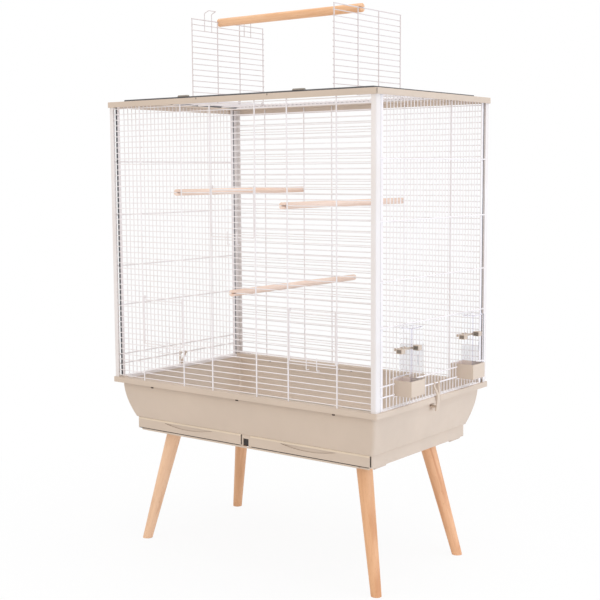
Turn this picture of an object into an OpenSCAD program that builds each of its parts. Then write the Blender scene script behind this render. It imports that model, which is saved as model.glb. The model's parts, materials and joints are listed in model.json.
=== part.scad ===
// Bird cage on a stand: a wire cage in white posts, a beige tray with drawers, four splayed wooden legs.
// Units are millimetres, +Z is up and the front faces -Y.

/* [Overall] */
// Width of the tray rim and of the roof frame
cage_w = 775; // [700:5:900]
// Depth of the tray rim and of the roof frame
cage_d = 475; // [440:5:560]
// Height of the wire panels between tray rim and roof frame
panel_h = 651; // [600:1:760]

/* [Wires] */
// Diameter of the thin wires
wire_d = 2; // [1.6:0.1:2.4]
// Diameter of the thick support wires
stay_d = 3.2; // [2.8:0.1:3.6]
// Spacing of the horizontal wires in the front and back panels
row_pitch = 13.1; // [12:0.1:14]
// Height of the lowest horizontal wire above the tray rim
first_row = 5.5; // [4:0.5:8]
// Spacing of the vertical wires in the side panels
side_pitch = 13.1; // [12.6:0.1:13.4]
// Air between two layers of crossing wires
weld_gap = 0.05; // [0.02:0.01:0.2]
// Clearance between pieces that sit side by side
snug = 0.3; // [0.2:0.05:0.5]
// Width of a doorway between its two vertical stays
door_w = 130; // [120:1:136]
// Distance from the rim's edge to the outer stay of a side doorway
door_side = 103.5; // [98:0.5:108]

/* [Posts] */
// Width of a corner post's front face
post_w = 13; // [11:0.5:16]
// Width of a corner post's side face
post_side = 16; // [15:0.5:18]
// Thickness of the corner posts
post_t = 1.6; // [1.2:0.1:2]
// Radius of a post's outer edge
post_r = 4; // [3:0.5:5]
// Distance from the rim's edge to the posts, along the width
post_inset_x = 3.5; // [3:0.5:5]
// Distance from the rim's edge to the posts, along the depth
post_inset_y = 3; // [3:0.5:5]
// Width of the dark strips beside the posts
seal_w = 3.2; // [2.4:0.2:5]
// Width of the flat edge strips of the side panels
edge_w = 8; // [6:0.5:10]

/* [Roof] */
// Height of the roof frame's fascia
roof_h = 13; // [11:0.5:18]
// Thickness of the roof frame's walls
roof_t = 2.5; // [2:0.1:3]
// Width of the flat ring of the roof frame
roof_ring = 38; // [38:0.5:44]
// How far the dark trim stands above the roof wires that it frames
trim_over = 0.4; // [0.3:0.1:2]
// Width of that trim
trim_w = 7; // [5:0.5:7]
// Distance from the roof's edge to that trim
trim_in = 28; // [26:0.5:28]
// Distance from the middle to each roof door's hinge wire
hatch_x = 209; // [196:0.5:212]
// Distance from the middle to the roof doors' side wires
hatch_y = 131.5; // [118:0.5:140]
// Height of a roof door above its hinge wire
hatch_h = 189; // [170:1:196]

/* [Perches] */
// Diameter of the three perches inside
perch_d = 14.8; // [12:0.2:17]
// How far a perch's end stands proud of the wires
perch_proud = 9; // [7:0.5:11]
// Diameter of the perch on the roof doors
top_perch_d = 19.5; // [17:0.5:22]
// Air between a wire and the slit that grips it
slit_gap = 0.35; // [0.3:0.05:0.6]

/* [Tray] */
// Height of the rim of the tray
rim_h = 12; // [10:0.5:16]
// Thickness of the tray's walls
tray_t = 3; // [2.5:0.1:4]
// Distance from the rim's edge to the tub's outer wall at the top
rim_over = 15.5; // [14:0.5:18]
// Height of the tub below the rim
tub_h = 88; // [76:1:110]
// How far the foot of the tub overhangs the base
tub_foot = 4; // [0:0.5:6]
// Corner radius of the rim and of the roof frame
rim_r = 5; // [4:0.5:9]
// Corner radius of the tub
tub_r = 8; // [6:0.5:12]
// Thickness of the tray's floor
floor_t = 4; // [3.6:0.1:5]
// Thickness of the floor grates
grate_t = 2.4; // [2:0.1:2.6]
// Width of a slot in the floor grates
grate_slot = 6; // [5:0.5:7]
// Spacing of the slots in the floor grates
grate_pitch = 10; // [9:0.5:13]

/* [Base and drawers] */
// Distance from the rim's edge to the base's wall, along the width
base_inset_x = 39; // [34:0.5:44]
// Distance from the rim's edge to the base's wall, along the depth
base_inset_y = 42; // [38:0.5:46]
// Height of the base
base_h = 28.8; // [26:0.2:34]
// Thickness of the base's walls
base_t = 3.6; // [3:0.1:4.4]
// Width of the pillar between the drawers
pillar_w = 27; // [24:1:32]
// Thickness of a drawer's front
front_t = 5; // [4.4:0.1:6]
// Thickness of a drawer's walls
drawer_t = 2; // [1.6:0.1:2.4]
// Running clearance around the drawers
drawer_gap = 0.7; // [0.5:0.1:1]
// Width of a drawer's handle recess
grip_w = 155; // [120:1:180]
// Height of a drawer's handle recess
grip_h = 8.5; // [6:0.5:10]

/* [Legs] */
// Height of the wooden legs
leg_h = 270; // [220:1:340]
// How far a foot stands outside its leg's top, along the width
splay_x = 60; // [40:1:70]
// How far a foot stands outside its leg's top, along the depth
splay_y = 42; // [30:1:50]
// Diameter of a leg at the foot
foot_d = 23.5; // [20:0.5:28]
// Diameter of a leg at the top
leg_top_d = 36; // [32:0.5:38]
// Distance from the base's side to the middle of a leg's top
leg_inset = 64; // [60:1:72]
// Thickness of the leg mounts' flange
flange_t = 3; // [2.4:0.2:4]
// Width of the leg mounts' flange
flange_w = 60; // [58:1:66]
// Height of the leg mounts' boss
boss_h = 12; // [10:0.5:14]
// Diameter of the hanger bolts
bolt_d = 8; // [6:0.5:8]

/* [Feeders and latches] */
// Width of a feeder trough
trough_w = 53.6; // [52:0.2:60]
// Height of a feeder trough
trough_h = 33.4; // [30:0.2:36]
// How far a trough stands out of the side panel
trough_out = 37.5; // [32:0.5:42]
// How far a trough reaches into the cage
trough_in = 17; // [12:0.5:20]
// Thickness of a trough's walls
trough_t = 1.6; // [1.4:0.1:2]
// Height of a feeder's clear reservoir
tank_h = 138; // [110:1:160]
// Thickness of a reservoir's walls
tank_t = 1.8; // [1.4:0.1:2.2]
// Width of a side latch
latch_w = 23.6; // [22:0.2:24]
// Width of a side latch's tongue
tongue_w = 11.6; // [9:0.5:14]
// Thickness of a side latch
latch_t = 3; // [2.6:0.1:3.4]

/* [Hidden] */
$fn = 48;
wire_fn = 24;
// How far one solid sinks into the next where they are one piece
touch = 0.01;
// How far a cut reaches past the face it opens
past = 1;

// Colours
beige = [0.80, 0.74, 0.67];
white = [0.95, 0.93, 0.92];
dark = [0.30, 0.30, 0.32];
wood = [0.87, 0.66, 0.47];
grey = [0.66, 0.66, 0.62];
clear = [0.92, 0.95, 0.97, 0.35];
steel = [0.72, 0.72, 0.74];

// Heights, from the floor up
boss_z = leg_h;
flange_z = boss_z + boss_h;
base_z = flange_z + flange_t;
tray_z = base_z + base_h;
rim_z = tray_z + tub_h;
rim_top = rim_z + rim_h;
roof_z = rim_top + panel_h;
roof_top = roof_z + roof_h;
panel_top = roof_top - roof_t;

// Half sizes of the main outlines
half_w = cage_w / 2;
half_d = cage_d / 2;
tub_hw = half_w - rim_over;
tub_hd = half_d - rim_over;
base_hw = half_w - base_inset_x;
base_hd = half_d - base_inset_y;
post_x = half_w - post_inset_x;
post_y = half_d - post_inset_y;
door_in = half_w - door_side - door_w;
seal_gap = 2;
seal_y = post_y - post_side - seal_w - seal_gap;
edge_y = seal_y - edge_w - snug;

// Front and back panels: stays outside, rows inside
stay_y = post_y - stay_d / 2;
row_y = stay_y - stay_d / 2 - wire_d / 2 - weld_gap;
row_end = post_x - post_r;
row_count = floor((panel_top - rim_top - first_row - wire_d) / row_pitch) + 1;
stays = [-door_in - door_w, -door_in, -door_w / 2, door_w / 2, door_in, door_in + door_w];

// Doors hang on row hang_row and reach down half a pitch below row hang_row - door_rows
door_rows = 8;
side_hang = 15;
middle_hang = 35;
door_drop = (door_rows + 0.5) * row_pitch;
door_wire = 2.6;
loop_gap = 0.4;
loop_r = wire_d / 2 + loop_gap + door_wire / 2;
door_y = row_y + loop_r;
door_half = door_w / 2 - stay_d / 2 - door_wire / 2 - 2 * snug;
prong_x = 14;
prong_drop = 16;
prong_reach = 9;

// Side panels: bars inside, stays outside
side_x = post_x - stay_d - wire_d / 2 - weld_gap;
side_stay_x = side_x + wire_d / 2 + stay_d / 2 + weld_gap;
side_count = 2 * floor((edge_y - wire_d) / side_pitch + 0.5);
side_rows = [30, 53, 175, 271, 395, 523];
side_end = post_y - post_side - snug;
sill_drop = 6;
sill_t = 1.2;
sill_in = tub_hw - tray_t - snug;

// Feeders, counted in side bars from the middle
feeder_in = 40;
feeder_back = floor((edge_y - trough_w / 2 - feeder_in) / side_pitch);
feeder_front = -feeder_back;
open_bars = 2.5;
frame_over = 2;
opening_low = 25;
opening_high = 65.6;
open_low = rim_top + opening_low;
open_high = rim_top + opening_high;
trough_x = side_stay_x + stay_d / 2;
trough_z = open_low + wire_d / 2 + snug;
trough_out_x = trough_x + trough_out;
trough_in_x = side_x - trough_in;
rib_h = 6.5;
tank_gap = 0.4;
tank_w = trough_w - 2 * trough_t - 2 * tank_gap;
tank_x1 = trough_out_x - trough_t - tank_gap;
tank_back = 5.5;
tank_x0 = trough_x + tank_back;
tank_z = trough_z + trough_t + rib_h + snug;
tank_notch = 15;
clip_up = 83.5;
clip_z = tank_z + clip_up;
clip_block = [14, 14.5, 10.4];
clip_wall = 1.5;
clip_out = 7;
clip_bar_z = 2.5;
clip_bar_h = 4;
strap_t = 2.4;
lug_in = 3.6;
lug_t = 2.4;
lug_w = 14;

// Side latches pivot on the lowest side stay
latch_y = side_pitch / 2;
latch_z = rim_top + side_rows[0];
latch_gap = 0.08;
latch_bulge = 6.6;
arm_w = 4.6;
eye_t = 2;
fork_low = 22;
fork_high = 6;
notch_gap = 5.5;
notch_w = tongue_w + 2 * notch_gap;
tooth_w = 10;
tooth_in = 1;
tooth_out = 4.4;
tooth_h = 4;
notch_in = 8;
pocket_gap = 2.5;
pocket_w = tooth_w + 2 * pocket_gap;
pocket_in = 2;
pocket_low = 20;
pocket_h = 14;

// Roof
thin_z = roof_top + stay_d + wire_d / 2 + weld_gap;
thick_z = roof_top + stay_d / 2;
trim_h = stay_d + weld_gap + wire_d + trim_over;
roof_hw = half_w - roof_ring;
roof_hd = half_d - roof_ring;
hatch_loop = wire_d / 2 + 2 * loop_gap + door_wire / 2;
hatch_mid = 41;
bar_off = 6;
hatch_rows = floor((hatch_h - row_pitch) / row_pitch);
knob_x = 167;
knob_y = half_d - trim_in - trim_w / 2;

// Perches: the rows they grip, counted from the lowest
left_grip = 34;
right_grip = 32;
low_grip = 17;
perch_side = stay_d / 2 + perch_d / 2 + 1;
perch_reach = row_y + perch_proud;
top_perch_y = -hatch_mid + door_wire / 2 + top_perch_d / 2 + snug;
top_proud = 3.6;

// The part's own frame is centred between the feeders and the left latch
latch_out = side_stay_x + latch_bulge + latch_t / 2;
centre_x = -(trough_out_x - latch_out) / 2;

function row_z(n) = rim_top + first_row + n * row_pitch;

// ---- shared shapes ----
module placed() translate([centre_x, 0, 0]) children();

module rod(d, len) cylinder(h = len, d = d, $fn = wire_fn);
module wire_x(x0, x1, y, z, d) translate([x0, y, z]) rotate([0, 90, 0]) rod(d, x1 - x0);
module wire_y(x, y0, y1, z, d) translate([x, y0, z]) rotate([-90, 0, 0]) rod(d, y1 - y0);
module wire_z(x, y, z0, z1, d) translate([x, y, z0]) rod(d, z1 - z0);

// Three quarters of a wire loop
module loop(r, d) rotate_extrude(angle = 270, $fn = wire_fn) translate([r, 0]) circle(d = d, $fn = wire_fn);

// A wire bent along points, with mitred corners
function unit(v) = v / norm(v);
function slide(ring, p, t, n) = [for (q = ring) q + t * (((p - q) * n) / (t * n))];
function first_ring(path, r, sides) =
    let (t = unit(path[1] - path[0]),
         u = unit(cross(t, abs(t[0]) < 0.5 ? [1, 0, 0] : [0, 1, 0])),
         v = cross(t, u))
    [for (k = [0:sides - 1]) path[0] + r * (cos(360 * k / sides) * u + sin(360 * k / sides) * v)];
function bend_rings(path, ring, i) = i == len(path) ? [] :
    let (t = unit(path[i] - path[i - 1]),
         n = i == len(path) - 1 ? t : unit(t + unit(path[i + 1] - path[i])),
         next = slide(ring, path[i], t, n))
    concat([next], bend_rings(path, next, i + 1));
module bent_wire(path, d) {
    start = first_ring(path, d / 2, 12);
    loft(concat([start], bend_rings(path, start, 1)));
}

// A box with round vertical edges, from z0 up
module round_box(hx, hy, z0, h, r) {
    translate([-hx + r, -hy, z0]) cube([2 * (hx - r), 2 * hy, h]);
    translate([-hx, -hy + r, z0]) cube([2 * hx, 2 * (hy - r), h]);
    for (sx = [-1, 1], sy = [-1, 1]) translate([sx * (hx - r), sy * (hy - r), z0]) cylinder(h = h, r = r);
}

// ---- tray ----
corner_steps = 6;
function ring(hx, hy, r, z) = [
    for (q = [0:3], k = [0:corner_steps])
        let (a = 90 * q + 90 * k / corner_steps,
             cx = (q == 0 || q == 3) ? hx - r : -hx + r,
             cy = (q < 2) ? hy - r : -hy + r)
        [cx + r * cos(a), cy + r * sin(a), z]];

// The tub's wall swells outwards: share of the full width at height share t
function swell(t) = 1 - pow(1 - t, 1.8);
wall_steps = 8;
function grow(low, high, t) = low + (high - low) * swell(t);
function wall_ring(t, inset, z) = ring(grow(base_hw + tub_foot, tub_hw, t) - inset,
                                       grow(base_hd + tub_foot, tub_hd, t) - inset,
                                       tub_r - inset / 2, z);
outer_rings = [for (k = [0:wall_steps]) wall_ring(k / wall_steps, 0, tray_z + tub_h * k / wall_steps)];
inner_rings = concat(
    [for (k = [0:wall_steps]) wall_ring(k / wall_steps, tray_t,
        tray_z + floor_t + (tub_h - floor_t) * k / wall_steps)],
    [wall_ring(1, tray_t, rim_top + past)]);

// A solid through rings of points, from the lowest to the highest
module loft(rings) {
    n = len(rings[0]);
    m = len(rings);
    polyhedron(points = [for (r = rings, p = r) p], convexity = 4, faces = concat(
        [[for (k = [0:n - 1]) k]],
        [for (j = [0:m - 2], k = [0:n - 1]) [j * n + (k + 1) % n, j * n + k, (j + 1) * n + k]],
        [for (j = [0:m - 2], k = [0:n - 1])
            [j * n + (k + 1) % n, (j + 1) * n + k, (j + 1) * n + (k + 1) % n]],
        [[for (k = [n - 1:-1:0]) (m - 1) * n + k]]));
}

grate_margin = [20, 22];
grate_hw = (base_hw - tray_t - grate_margin[0] - pillar_w / 2) / 2;
grate_hd = base_hd - tray_t - grate_margin[1];
grate_mid = pillar_w / 2 + grate_hw;
grate_ledge = 6;

module tray_body() difference() {
    union() {
        loft(outer_rings);
        difference() {
            round_box(half_w, half_d, rim_z, rim_h, rim_r);
            round_box(half_w - tray_t, half_d - tray_t, rim_z - past, rim_h - tray_t + past,
                rim_r - tray_t / 2);
        }
        round_box(tub_hw, tub_hd, rim_z, rim_h, tub_r);
    }
    loft(inner_rings);
    for (s = [-1, 1]) {
        translate([s * grate_mid - grate_hw, -grate_hd, tray_z + floor_t - grate_t])
            cube([2 * grate_hw, 2 * grate_hd, grate_t + past]);
        translate([s * grate_mid - grate_hw + grate_ledge, -grate_hd + grate_ledge, tray_z - past])
            cube([2 * (grate_hw - grate_ledge), 2 * (grate_hd - grate_ledge), floor_t + 2 * past]);
        // Notch in the rim for the side latch, and the pocket that its hook enters
        translate([s * half_w - notch_in, latch_y - notch_w / 2, rim_z - past])
            cube([2 * notch_in, notch_w, rim_h + 2 * past]);
        translate([s > 0 ? tub_hw - pocket_in : -tub_hw + pocket_in - notch_in,
                   latch_y - pocket_w / 2, rim_z - pocket_low])
            cube([notch_in, pocket_w, pocket_h]);
    }
}
module tray() color(beige) placed() tray_body();

grate_gap = 0.4;
grate_edge = 8;
module floor_grate(s) color(grey) placed()
    translate([s * grate_mid, 0, tray_z + floor_t - grate_t]) difference() {
        hx = grate_hw - grate_gap;
        hy = grate_hd - grate_gap;
        n = floor((hx - grate_edge - grate_slot / 2) / grate_pitch);
        translate([-hx, -hy, 0]) cube([2 * hx, 2 * hy, grate_t]);
        for (k = [-n:n], t = [-1, 1])
            translate([k * grate_pitch - grate_slot / 2, t > 0 ? grate_edge / 2 : -hy + grate_edge, -past])
                cube([grate_slot, hy - 1.5 * grate_edge, grate_t + 2 * past]);
    }
module floor_grate_left() floor_grate(-1);
module floor_grate_right() floor_grate(1);

// ---- base and drawers ----
base_r = 6;
pad_h = 5.4;
pad_d = 9;
pad_long = 48;
pad_short = 42;
pad_in = 7;
pad_end = 12;
pad_edge = 2;
pad_slope = 3;
rail_drop = 3.4;
rail_up = 0.4;
rail_t = 3.2;
rail_end = 34;
screw_d = 4;
screw_gap = 0.05;
screw_in = 6;
screw_at = flange_w / 2 - screw_in;
leg_x = base_hw - leg_inset;
leg_y = base_hd - leg_inset;

// A low pad with bevelled ends, along X
module pad(w) rotate([90, 0, 90]) linear_extrude(height = w, center = true) polygon([
    [-pad_d / 2, 0], [pad_d / 2, 0], [pad_d / 2, -pad_h + pad_edge], [pad_d / 2 - pad_slope, -pad_h],
    [-pad_d / 2 + pad_slope, -pad_h], [-pad_d / 2, -pad_h + pad_edge]]);

window_w = 16;
window_h = 18;
window_in = 25;
side_post = 5;
module base_frame() color(beige) placed() difference() {
    union() {
        round_box(base_hw, base_hd, base_z, base_t, base_r);
        for (s = [-1, 1]) {
            translate([s > 0 ? base_hw - side_post : -base_hw, -base_hd + base_r, base_z])
                cube([side_post, 2 * (base_hd - base_r), base_h]);
            translate([s * (base_hw - base_r), -base_hd + base_r, base_z]) intersection() {
                cylinder(h = base_h, r = base_r);
                translate([s > 0 ? base_r - side_post : -base_r, -base_r - past, 0])
                    cube([side_post, base_r + past, base_h]);
            }
            translate([s > 0 ? pillar_w / 2 - base_t : -pillar_w / 2, -base_hd, base_z])
                cube([base_t, 2 * base_hd - base_t, base_h]);
        }
        translate([-base_hw + base_r, base_hd - base_t, base_z])
            cube([2 * (base_hw - base_r), base_t, base_h]);
        for (s = [-1, 1]) translate([s * (base_hw - base_r), base_hd - base_r, base_z]) difference() {
            cylinder(h = base_h, r = base_r);
            translate([s > 0 ? -base_r : side_post - base_r, -base_r, base_t])
                cube([2 * base_r - side_post, 2 * base_r - base_t, base_h]);
        }
        translate([-pillar_w / 2, -base_hd, base_z]) cube([pillar_w, base_t, base_h]);
        // Rail below the drawers' fronts
        translate([-base_hw + rail_end, -base_hd - front_proud, base_z - rail_drop])
            cube([2 * (base_hw - rail_end), rail_t, rail_drop + rail_up]);
    }
    translate([-window_w / 2, -base_hd - past, base_z - past])
        cube([window_w, window_in + past, window_h + past]);
    for (sx = [-1, 1], sy = [-1, 1], tx = [-1, 1], ty = [-1, 1])
        translate([sx * leg_x + tx * screw_at, sy * leg_y + ty * screw_at, base_z - past])
            cylinder(h = base_t + 2 * past, d = screw_d + 2 * screw_gap, $fn = wire_fn);
}

module base_pads() color(beige) placed() for (s = [-1, 1], t = [-1, 1]) {
    translate([s * (base_hw - pad_end - pad_long / 2), t * (base_hd - pad_in), base_z]) pad(pad_long);
    translate([s * (base_hw - pad_in), t * (base_hd - pad_in - pad_d - pad_short / 2), base_z])
        rotate([0, 0, 90]) pad(pad_short);
}

drawer_x0 = pillar_w / 2 + drawer_gap;
drawer_x1 = base_hw - side_post - drawer_gap;
drawer_z0 = base_z + base_t + drawer_gap;
drawer_top = 4;
drawer_h = base_h - base_t - drawer_gap - drawer_top;
drawer_short = 8;
drawer_len = 2 * base_hd - base_t - drawer_short;
front_proud = 2;
lip_h = 4.4;
front_low = base_z + rail_up + 2;
front_high = tray_z - 1.2;
grip_low = 5.8;
grip_in = 2.2;
grip_r = (grip_w * grip_w / 4 + grip_h * grip_h) / (2 * grip_h);
module drawer(s) color(beige) placed() translate([s * (drawer_x0 + drawer_x1) / 2, 0, 0]) difference() {
    w = drawer_x1 - drawer_x0;
    y0 = -base_hd - front_proud;
    union() {
        // Front plate with a chamfered top edge, standing proud of the base
        translate([w / 2, 0, 0]) rotate([0, -90, 0]) linear_extrude(height = w) polygon([
            [front_low, y0], [front_high - lip_h, y0], [front_high, -base_hd - drawer_gap - touch],
            [front_high, -base_hd - drawer_gap],
            [front_low, -base_hd - drawer_gap]]);
        translate([-w / 2, -base_hd - drawer_gap - touch, drawer_z0])
            cube([w, front_t - front_proud + drawer_gap, drawer_h]);
        translate([-w / 2, -base_hd, drawer_z0]) cube([w, drawer_len, drawer_h]);
    }
    translate([-w / 2 + drawer_t, -base_hd + front_t - front_proud, drawer_z0 + drawer_t])
        cube([w - 2 * drawer_t, drawer_len - front_t + front_proud - drawer_t, drawer_h]);
    // Handle recess: flat on top, round below, with a deeper middle
    intersection() {
        translate([0, y0 - past, front_high - grip_low + grip_r - grip_h]) rotate([-90, 0, 0])
            cylinder(h = grip_in + past, r = grip_r, $fn = 128);
        translate([-grip_w, y0 - 2 * past, front_high - grip_low - 2 * grip_h])
            cube([2 * grip_w, grip_in + 4 * past, 2 * grip_h]);
    }
}
module drawer_left() drawer(-1);
module drawer_right() drawer(1);

// ---- legs and their mounts ----
leg_run = sqrt(splay_x * splay_x + splay_y * splay_y);
leg_tilt = atan2(leg_run, leg_h);
leg_len = sqrt(leg_run * leg_run + leg_h * leg_h);
leg_over = 12;
bolt_in = 28;
bolt_up = 12;
boss_rim = 4;
bolt_gap = 0.1;
// Turns a leg about its own axis, so that its seam lies away from its outline
leg_turn = 35;

// Places its children at the middle of a leg's top, with +Z along the leg
module along_leg(sx, sy) translate([sx * leg_x, sy * leg_y, leg_h])
    rotate([0, leg_tilt, atan2(-sy * splay_y, -sx * splay_x)]) rotate([0, 0, leg_turn]) children();

module leg(sx, sy) color(wood) placed() difference() {
    intersection() {
        along_leg(sx, sy) translate([0, 0, -leg_len - leg_over]) {
            grow = (leg_top_d - foot_d) / 2 * leg_over / leg_len;
            cylinder(h = leg_len + 2 * leg_over, r1 = foot_d / 2 - grow, r2 = leg_top_d / 2 + grow);
        }
        translate([-half_w, -half_d, 0]) cube([cage_w, cage_d, leg_h]);
    }
    along_leg(sx, sy) translate([0, 0, -bolt_in - past])
        cylinder(h = bolt_in + bolt_up + 2 * past, d = bolt_d + 2 * bolt_gap);
}
module leg_front_left() leg(-1, -1);
module leg_front_right() leg(1, -1);
module leg_back_left() leg(-1, 1);
module leg_back_right() leg(1, 1);

module leg_mounts() color(dark) placed() for (sx = [-1, 1], sy = [-1, 1]) difference() {
    translate([sx * leg_x, sy * leg_y, 0]) {
        round_box(flange_w / 2, flange_w / 2, flange_z, flange_t, base_r);
        translate([0, 0, boss_z]) cylinder(h = boss_h, d = leg_top_d + boss_rim);
    }
    along_leg(sx, sy) translate([0, 0, -bolt_up])
        cylinder(h = 2 * bolt_up + 2 * snug, d = bolt_d + 2 * bolt_gap);
    for (tx = [-1, 1], ty = [-1, 1])
        translate([sx * leg_x + tx * screw_at, sy * leg_y + ty * screw_at, flange_z - past])
            cylinder(h = flange_t + 2 * past, d = screw_d + 2 * screw_gap, $fn = wire_fn);
}

module hanger_bolts() color(steel) placed() for (sx = [-1, 1], sy = [-1, 1])
    along_leg(sx, sy) translate([0, 0, -bolt_in]) cylinder(h = bolt_in + bolt_up, d = bolt_d);

head_h = 2.4;
module mount_screws() color(steel) placed()
    for (sx = [-1, 1], sy = [-1, 1], tx = [-1, 1], ty = [-1, 1])
        translate([sx * leg_x + tx * screw_at, sy * leg_y + ty * screw_at, flange_z]) {
            translate([0, 0, -head_h]) cylinder(h = head_h, d = 2 * screw_d, $fn = wire_fn);
            translate([0, 0, -touch]) cylinder(h = flange_t + base_t - snug, d = screw_d, $fn = wire_fn);
        }

// ---- posts and rods ----
module post(sx, sy) color(white) placed() translate([sx * post_x, sy * post_y, rim_top])
    linear_extrude(height = panel_top - rim_top) {
        translate([sx > 0 ? -post_w : post_r, sy > 0 ? -post_t : 0]) square([post_w - post_r, post_t]);
        translate([sx > 0 ? -post_t : 0, sy > 0 ? -post_side : post_r]) square([post_t, post_side - post_r]);
        translate([-sx * post_r, -sy * post_r]) difference() {
            circle(r = post_r);
            circle(r = post_r - post_t);
            translate([sx > 0 ? -2 * post_r : 0, -post_r]) square(2 * post_r);
            translate([-post_r, sy > 0 ? -2 * post_r : 0]) square(2 * post_r);
        }
    }
module post_front_left() post(-1, -1);
module post_front_right() post(1, -1);
module post_back_left() post(-1, 1);
module post_back_right() post(1, 1);

module corner_seals() color(dark) placed() for (sx = [-1, 1], sy = [-1, 1])
    translate([sx * side_x - wire_d / 2, sy > 0 ? seal_y : -seal_y - seal_w, rim_top])
        cube([wire_d, seal_w, panel_top - rim_top]);

// ---- wire panels ----
// True where row n is cut by a doorway hung on row h
function in_door(n, h) = n < h && n > h - door_rows - 1;
function cuts(n, doors) =
    doors && in_door(n, side_hang) ? [[-door_in - door_w, -door_in], [door_in, door_in + door_w]]
    : doors && in_door(n, middle_hang) ? [[-door_w / 2, door_w / 2]]
    : [];

// Front (s = -1) or back (s = 1) panel: stays, and rows with the doorways left out
module wide_panel(s, doors) {
    for (x = stays) wire_z(x, s * stay_y, rim_top, panel_top, stay_d);
    for (n = [0:row_count - 1]) {
        gaps = cuts(n, doors);
        starts = concat([-row_end], [for (g = gaps) g[1] - stay_d / 2]);
        ends = concat([for (g = gaps) g[0] + stay_d / 2], [row_end]);
        for (k = [0:len(starts) - 1]) wire_x(starts[k], ends[k], s * row_y, row_z(n), wire_d);
    }
}
module front_panel() color(white) placed() wide_panel(-1, true);
module back_panel() color(white) placed() wide_panel(1, false);

function feeder_y(f) = f * side_pitch;
function near_feeder(y) =
    min(abs(y - feeder_y(feeder_front)), abs(y - feeder_y(feeder_back))) < open_bars * side_pitch - wire_d;

// Side panel: bars, stays and a flat sill; the right one leaves two openings for the feeders
module side_panel(s, feeders) {
    half = side_count / 2;
    for (k = [1:half], t = [-1, 1]) {
        y = t * (k - 0.5) * side_pitch;
        if (feeders && near_feeder(y)) {
            wire_z(s * side_x, y, rim_top + sill_t + weld_gap, open_low + wire_d / 2, wire_d);
            wire_z(s * side_x, y, open_high - wire_d / 2, panel_top, wire_d);
        } else wire_z(s * side_x, y, rim_top + sill_t + weld_gap, panel_top, wire_d);
    }
    reach = open_bars * side_pitch;
    for (n = [0:len(side_rows) - 1]) {
        cut = feeders && side_rows[n] < opening_high;
        f0 = feeder_y(feeder_front);
        f1 = feeder_y(feeder_back);
        starts = cut ? [-side_end, f0 + reach, f1 + reach] : [-side_end];
        ends = cut ? [f0 - reach, f1 - reach, side_end] : [side_end];
        for (k = [0:len(starts) - 1])
            wire_y(s * side_stay_x, starts[k], ends[k], rim_top + side_rows[n], stay_d);
    }
    if (feeders) for (f = [feeder_front, feeder_back], z = [open_low, open_high])
        wire_y(s * (side_x + wire_d + weld_gap), feeder_y(f) - reach - frame_over,
            feeder_y(f) + reach + frame_over, z, wire_d);
    sill_end = edge_y - weld_gap;
    translate([s > 0 ? sill_in - sill_t : -side_x - wire_d, -sill_end, rim_top])
        cube([side_x + wire_d - sill_in + sill_t, 2 * sill_end, sill_t]);
    translate([s > 0 ? sill_in - sill_t : -sill_in, -sill_end, rim_top - sill_drop])
        cube([sill_t, 2 * sill_end, sill_drop + sill_t]);
    for (t = [-1, 1]) translate([s * side_x - wire_d / 2, t > 0 ? edge_y : -edge_y - edge_w, rim_top])
        cube([wire_d, edge_w, panel_top - rim_top]);
}
module left_panel() color(white) placed() side_panel(-1, false);
module right_panel() color(white) placed() side_panel(1, true);

// ---- front doors ----
module front_door(x, hang) color(white) placed() translate([x, 0, 0]) {
    top = row_z(hang);
    low = top - door_drop;
    thin_y = -door_y + door_wire / 2 + wire_d / 2 + weld_gap;
    for (s = [-1, 1]) {
        translate([s * door_half, -row_y, top]) rotate([0, 90, 0]) loop(loop_r, door_wire);
        wire_z(s * door_half, -door_y, low, top - weld_gap, door_wire);
        // Latch prong: down over the next row, then in under it
        prong_y = -door_y - door_wire / 2 - wire_d / 2 - weld_gap;
        translate([s * prong_x, prong_y, low]) bent_wire([[0, 0, row_pitch], [0, 0, 2 - prong_drop],
            [0, 0.6, 0.6 - prong_drop], [0, 2, -prong_drop], [0, prong_reach, -prong_drop]], wire_d);
    }
    for (z = [low, top - loop_r - door_wire - 1])
        wire_x(-door_half + door_wire / 2 + weld_gap, door_half - door_wire / 2 - weld_gap,
            -door_y, z, door_wire);
    for (n = [1:door_rows]) wire_x(-door_half, door_half, thin_y, top - n * row_pitch, wire_d);
}
module front_door_left() front_door(-door_in - door_w / 2, side_hang);
module front_door_middle() front_door(0, middle_hang);
module front_door_right() front_door(door_in + door_w / 2, side_hang);

// ---- roof ----
module roof_frame() color(beige) placed() difference() {
    round_box(half_w, half_d, roof_z, roof_h, rim_r);
    round_box(half_w - roof_t, half_d - roof_t, roof_z - past, roof_h - roof_t + past, rim_r - roof_t);
    translate([-roof_hw, -roof_hd, roof_z]) cube([2 * roof_hw, 2 * roof_hd, roof_h + past]);
}

module roof_trim() color(dark) placed() difference() {
    hx = half_w - trim_in;
    hy = half_d - trim_in;
    round_box(hx, hy, roof_top, trim_h, 4);
    translate([-hx + trim_w, -hy + trim_w, roof_top - past])
        cube([2 * (hx - trim_w), 2 * (hy - trim_w), trim_h + 2 * past]);
}

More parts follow.
